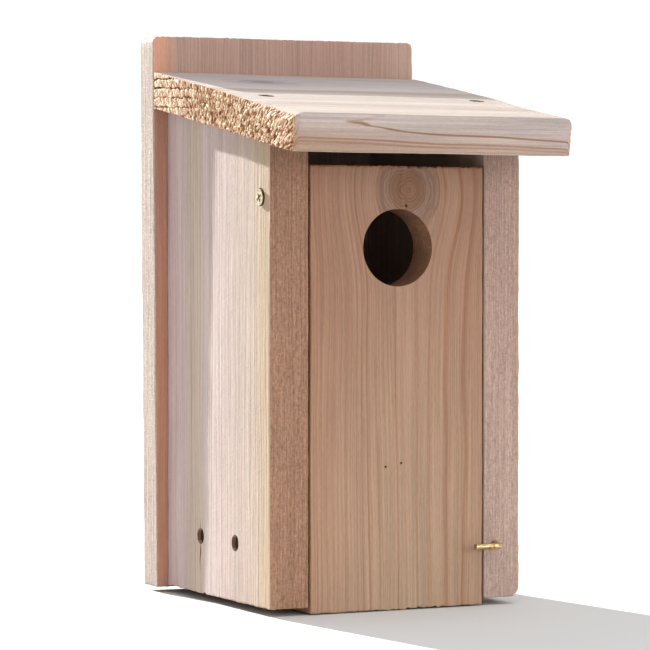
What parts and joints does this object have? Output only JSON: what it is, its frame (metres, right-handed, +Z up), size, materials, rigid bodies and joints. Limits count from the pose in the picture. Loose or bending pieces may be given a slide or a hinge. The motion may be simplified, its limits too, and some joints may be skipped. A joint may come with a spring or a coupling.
{
  "type": "birdhouse",
  "caption": "Cedar nest box with a round entrance hole, a sloping overhanging roof, a tall back board for mounting, and a front door that swings up on pivot screws and is held by a wire hook.",
  "frame": {"origin": "middle of the bounding box at its bottom, which is the level of the door's lower end", "axes": "+Z up the box, -Y out through the entrance hole, +X to the right seen from the front"},
  "size_m": [0.154, 0.1872, 0.2901],
  "materials": {
    "body_wood": "rough-sawn unfinished cedar",
    "roof_wood": "rough-sawn unfinished cedar, paler",
    "door_wood": "planed unfinished cedar",
    "latch_brass": "bright brass-plated wire",
    "screw_steel": "yellow-zinc plated steel"
  },
  "bodies": {
    "housing": {"back_panel": "body_wood", "left_side": "body_wood", "right_side": "body_wood", "floor_board": "body_wood", "roof_board": "roof_wood", "floor_screw_left_front": "screw_steel", "floor_screw_left_rear": "screw_steel", "floor_screw_right_front": "screw_steel", "floor_screw_right_rear": "screw_steel", "roof_screw_left": "screw_steel", "roof_screw_right": "screw_steel", "back_screw_left_upper": "screw_steel", "back_screw_left_lower": "screw_steel", "back_screw_right_upper": "screw_steel", "back_screw_right_lower": "screw_steel", "back_screw_floor": "screw_steel", "back_screw_roof_left": "screw_steel", "back_screw_roof_right": "screw_steel"},
    "door": {"door": "door_wood", "pivot_screw_left": "screw_steel", "pivot_screw_right": "screw_steel"},
    "latch": {"latch_hook": "latch_brass"}
  },
  "joints": [
    {"name": "door_hinge", "type": "hinge", "parent": "housing", "child": "door", "pos_m": [0, -0.03992, 0.2031], "axis": [-1, 0, 0], "range_deg": [0, 98]},
    {"name": "latch_turn", "type": "hinge", "parent": "housing", "child": "latch", "pos_m": [0.055, -0.05092, 0.0303], "axis": [0, 1, 0], "range_deg": [-90, 90]}
  ]
}
